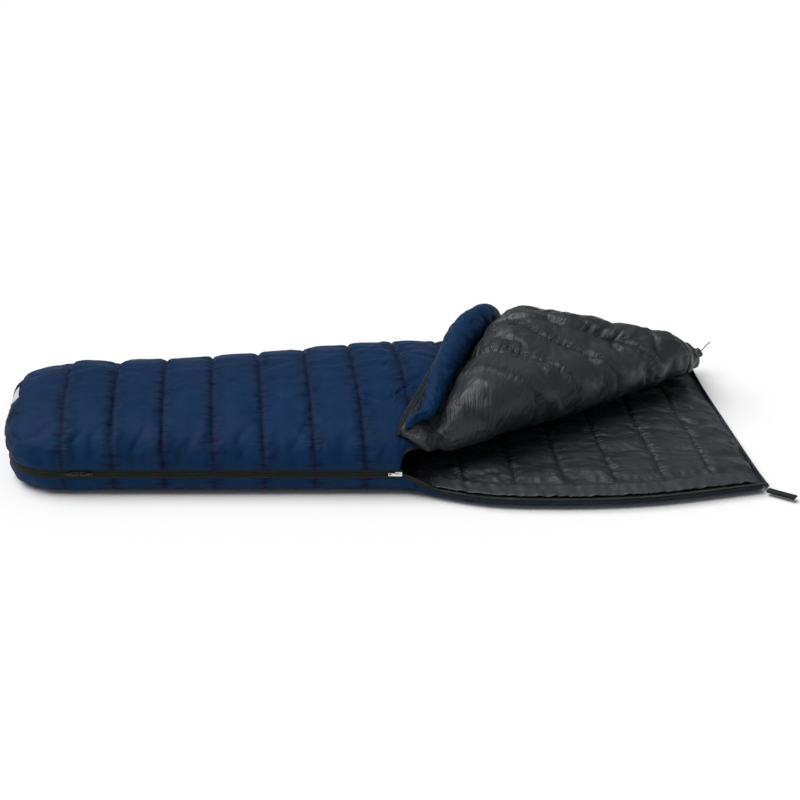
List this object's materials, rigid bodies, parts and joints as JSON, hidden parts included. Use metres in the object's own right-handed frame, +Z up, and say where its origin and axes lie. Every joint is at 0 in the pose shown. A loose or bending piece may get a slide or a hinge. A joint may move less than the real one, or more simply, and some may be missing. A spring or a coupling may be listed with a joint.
{
  "type": "sleeping bag",
  "caption": "Hoodless quilted sleeping bag with a tapered foot, lying flat, unzipped from the neck to mid length, with the top quilt folded back on itself to show its lining.",
  "frame": {"origin": "on the floor, under the centre of the bag's bounding box, measured without the free drawcord and its cord lock", "axes": "+Z up; +X along the bag from the foot to the neck; the zip is on the -Y side"},
  "size_m": [2.0263, 0.9919, 0.2817],
  "materials": {
    "shell_fabric": "navy downproof ripstop nylon, matte",
    "lining_fabric": "black nylon taffeta, slight sheen",
    "fill": "white hollow-fibre or down filling",
    "zip_tape": "black woven zip tape",
    "zip_coil": "black nylon coil",
    "silver_metal": "plated zinc, silver",
    "black_metal": "black painted zinc",
    "webbing": "black woven webbing",
    "cord": "black braided cord",
    "black_plastic": "black moulded plastic",
    "spring_steel": "bright spring wire",
    "label": "light grey woven patch"
  },
  "bodies": {
    "bag": {"bottom_shell": "shell_fabric", "top_shell": "shell_fabric", "draft_tube_closed": "shell_fabric", "bottom_lining": "lining_fabric", "top_lining": "lining_fabric", "fold_roll": "lining_fabric", "zip_facing": "lining_fabric", "neck_hem": "lining_fabric", "bottom_fill_00": "fill", "bottom_fill_01": "fill", "bottom_fill_02": "fill", "bottom_fill_03": "fill", "bottom_fill_04": "fill", "bottom_fill_05": "fill", "bottom_fill_06": "fill", "bottom_fill_07": "fill", "bottom_fill_08": "fill", "bottom_fill_09": "fill", "bottom_fill_10": "fill", "bottom_fill_11": "fill", "bottom_fill_12": "fill", "bottom_fill_13": "fill", "bottom_fill_14": "fill", "top_fill_00": "fill", "top_fill_01": "fill", "top_fill_02": "fill", "top_fill_03": "fill", "top_fill_04": "fill", "top_fill_05": "fill", "top_fill_06": "fill", "top_fill_07": "fill", "top_fill_under_flap": "fill", "zip_tape_upper": "zip_tape", "zip_tape_lower": "zip_tape", "zip_coil_upper": "zip_coil", "zip_coil_lower": "zip_coil", "drawcord": "cord", "foot_label": "label"},
    "flap": {"flap_shell": "shell_fabric", "flap_lining": "lining_fabric", "flap_fill": "fill", "draft_tube": "shell_fabric", "zip_tape_flap": "zip_tape", "zip_coil_flap": "zip_coil", "flap_hem": "lining_fabric", "drawcord_flap": "cord"},
    "main_slider": {"main_slider": "silver_metal"},
    "main_pull": {"main_pull": "silver_metal"},
    "foot_slider": {"foot_slider": "black_metal"},
    "foot_pull": {"foot_pull": "black_metal"},
    "toe_slider": {"toe_slider": "black_metal"},
    "toe_pull": {"toe_pull": "black_metal"},
    "cord_lock": {"cord_lock_barrel": "black_plastic", "cord_lock_spring": "spring_steel"},
    "cord_lock_button": {"cord_lock_plunger": "black_plastic"},
    "end_tab": {"end_tab": "webbing"}
  },
  "joints": [
    {"name": "flap_fold", "type": "hinge", "parent": "bag", "child": "flap", "pos_m": [0.03, -0.332, 0.135], "axis": [0.8453, 0.5344, 0], "range_deg": [0, 120], "deforming": ["fold_roll"]},
    {"name": "main_slider_slide", "type": "slide", "parent": "bag", "child": "main_slider", "axis": [0.9948, -0.102, 0], "range_m": [-0.59, 0]},
    {"name": "main_pull_swing", "type": "hinge", "parent": "main_slider", "child": "main_pull", "pos_m": [-0.00057, -0.35815, 0.065], "axis": [0, 0, 1], "range_deg": [0, 160]},
    {"name": "foot_slider_slide", "type": "slide", "parent": "bag", "child": "foot_slider", "axis": [0.9948, -0.102, 0], "range_m": [0, 0.15]},
    {"name": "foot_pull_swing", "type": "hinge", "parent": "foot_slider", "child": "foot_pull", "pos_m": [-0.80257, -0.27595, 0.065], "axis": [0, 0, -1], "range_deg": [0, 95]},
    {"name": "toe_slider_slide", "type": "slide", "parent": "bag", "child": "toe_slider", "axis": [0.9948, -0.102, 0], "range_m": [-0.018, 0]},
    {"name": "toe_pull_swing", "type": "hinge", "parent": "toe_slider", "child": "toe_pull", "pos_m": [-0.82357, -0.2738, 0.065], "axis": [0, 0, 1], "range_deg": [0, 95]},
    {"name": "cord_lock_slide", "type": "slide", "parent": "bag", "child": "cord_lock", "axis": [0.7483, 0.3332, 0.5736], "range_m": [0, 0.02]},
    {"name": "cord_lock_press", "type": "slide", "parent": "cord_lock", "child": "cord_lock_button", "axis": [0.524, 0.2333, -0.8192], "range_m": [0, 0.004], "stiffness_N_per_m": 300, "springref_m": -0.004, "deforming": ["cord_lock_spring"]},
    {"name": "end_tab_lift", "type": "hinge", "parent": "bag", "child": "end_tab", "pos_m": [0.948, -0.4402, 0.012], "axis": [-0.632, -0.7749, 0], "range_deg": [0, 90]}
  ]
}
